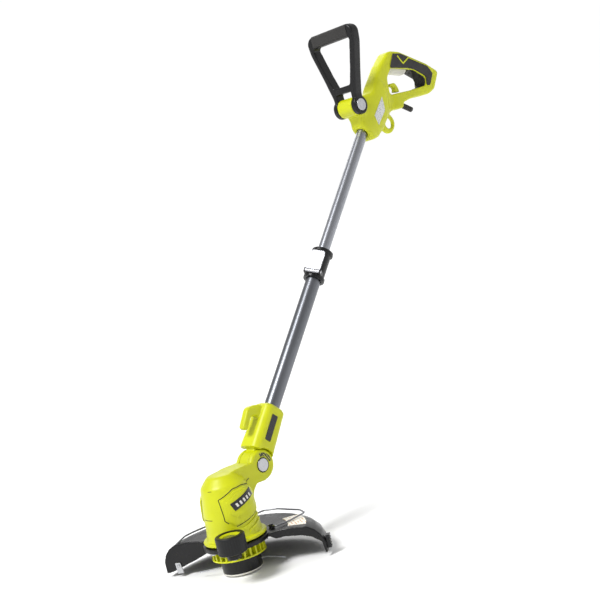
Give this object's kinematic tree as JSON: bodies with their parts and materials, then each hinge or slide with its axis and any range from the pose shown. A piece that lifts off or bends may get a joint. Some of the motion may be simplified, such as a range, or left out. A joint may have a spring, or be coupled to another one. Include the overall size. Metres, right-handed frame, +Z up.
{
  "type": "string trimmer",
  "caption": "Corded grass trimmer: motor head with line spool, fan-shaped guard, edging wheel and wire guard on a sliding, twisting shaft with a D-shaped front handle and a looped rear handle.",
  "frame": {"origin": "on the motor axis, at the face of the tap button that meets the ground", "axes": "+Z up along the motor axis, +Y towards the operator, +X to the operator's left"},
  "size_m": [0.2792, 0.8819, 0.8937],
  "materials": {
    "lime_plastic": "moulded, fine grain",
    "black_plastic": "moulded, fine grain",
    "grey_plastic": "moulded, smooth",
    "soft_grip": "soft overmould",
    "tread": "soft moulded",
    "tube_metal": "satin",
    "steel": "bright",
    "pressed_metal": "plated",
    "copper": "wound",
    "line": "drawn nylon",
    "label": "printed film",
    "dark_label": "printed film"
  },
  "bodies": {
    "handle": {"upper_tube": "tube_metal", "guide_bush": "black_plastic", "rear_shell_left": "lime_plastic", "rear_shell_right": "lime_plastic", "rear_screws": "steel", "grip_left": "soft_grip", "grip_right": "soft_grip", "trigger_pin": "steel", "trigger_spring": "steel", "switch": "black_plastic", "handle_bolt": "steel", "cord_guard": "soft_grip", "cord_hook": "lime_plastic", "rating_plate": "label"},
    "trigger_body": {"trigger": "grey_plastic"},
    "front_handle_body": {"front_handle": "black_plastic", "front_grip": "soft_grip"},
    "cap_left": {"handle_cap_left": "pressed_metal"},
    "cap_right": {"handle_cap_right": "pressed_metal"},
    "collar": {"collar_body": "black_plastic", "lever_pin": "steel"},
    "lever": {"lock_lever": "pressed_metal"},
    "lower_shaft": {"lower_tube": "tube_metal", "clamp_left": "lime_plastic", "clamp_right": "lime_plastic", "clamp_screws": "steel", "clamp_label": "dark_label"},
    "head": {"vent_ring": "lime_plastic", "head_shell_left": "lime_plastic", "head_shell_right": "lime_plastic", "stator": "steel", "bearings": "steel", "brush_holder": "black_plastic", "brushes": "black_plastic", "pivot_pin": "steel", "pivot_spring": "steel", "head_badge": "dark_label", "head_screws": "steel", "guard": "black_plastic", "guard_screws": "steel", "line_blade": "steel", "guard_clip": "black_plastic", "guard_label": "label", "side_wire": "steel", "wheel_axle": "steel"},
    "pivot_push": {"pivot_button": "pressed_metal"},
    "wheel": {"wheel_rim": "lime_plastic", "wheel_tyre": "tread"},
    "wire": {"wire_guard": "steel"},
    "rotor": {"motor_shaft": "steel", "armature": "copper", "cooling_fan": "black_plastic", "spool_housing": "black_plastic", "spool_cover": "grey_plastic", "line_spool": "black_plastic", "wound_line": "line", "line_eyelets": "steel", "cutting_lines": "line", "tap_spring": "steel"},
    "tap": {"tap_button": "black_plastic"}
  },
  "joints": [
    {"name": "trigger_press", "type": "hinge", "parent": "handle", "child": "trigger_body", "pos_m": [0, 0.662, 0.811], "axis": [1, 0, 0], "range_deg": [0, 6], "stiffness_Nm_per_rad": 1.2, "springref_deg": -8.59, "deforming": ["trigger_spring"]},
    {"name": "front_handle_tilt", "type": "hinge", "parent": "handle", "child": "front_handle_body", "pos_m": [0, 0.525, 0.74], "axis": [1, 0, 0], "range_deg": [-18, 60]},
    {"name": "cap_left_press", "type": "slide", "parent": "front_handle_body", "child": "cap_left", "axis": [-1, 0, 0], "range_m": [0, 0.002], "stiffness_N_per_m": 400, "springref_m": -0.002},
    {"name": "cap_right_press", "type": "slide", "parent": "front_handle_body", "child": "cap_right", "axis": [1, 0, 0], "range_m": [0, 0.002], "stiffness_N_per_m": 400, "springref_m": -0.002},
    {"name": "shaft_length", "type": "slide", "parent": "handle", "child": "collar", "axis": [0, 0.6665, 0.7455], "range_m": [-0.06, 0.15]},
    {"name": "lever_flip", "type": "hinge", "parent": "collar", "child": "lever", "pos_m": [0.0095, 0.31198, 0.45536], "axis": [0.866, 0.3727, -0.3333], "range_deg": [0, 95]},
    {"name": "head_twist", "type": "hinge", "parent": "collar", "child": "lower_shaft", "pos_m": [0, 0.0723, 0.1626], "axis": [0, 0.6665, 0.7455], "range_deg": [0, 180]},
    {"name": "head_pitch", "type": "hinge", "parent": "lower_shaft", "child": "head", "pos_m": [0, 0.078, 0.1609], "axis": [1, 0, 0], "range_deg": [-15, 30]},
    {"name": "pivot_press", "type": "slide", "parent": "head", "child": "pivot_push", "axis": [-1, 0, 0], "range_m": [0, 0.0035], "stiffness_N_per_m": 500, "springref_m": -0.002, "deforming": ["pivot_spring"]},
    {"name": "wheel_spin", "type": "hinge", "parent": "head", "child": "wheel", "pos_m": [0.06001, -0.05734, 0.064], "axis": [0, 0, 1], "continuous": true},
    {"name": "wire_fold", "type": "hinge", "parent": "head", "child": "wire", "pos_m": [0, 0.05, 0.0627], "axis": [1, 0, 0], "range_deg": [0, 45]},
    {"name": "motor_spin", "type": "hinge", "parent": "head", "child": "rotor", "pos_m": [0, 0, 0.02], "axis": [0, 0, 1], "continuous": true},
    {"name": "tap_press", "type": "slide", "parent": "rotor", "child": "tap", "axis": [0, 0, 1], "range_m": [0, 0.003], "stiffness_N_per_m": 1500, "springref_m": -0.003, "deforming": ["tap_spring"]}
  ]
}
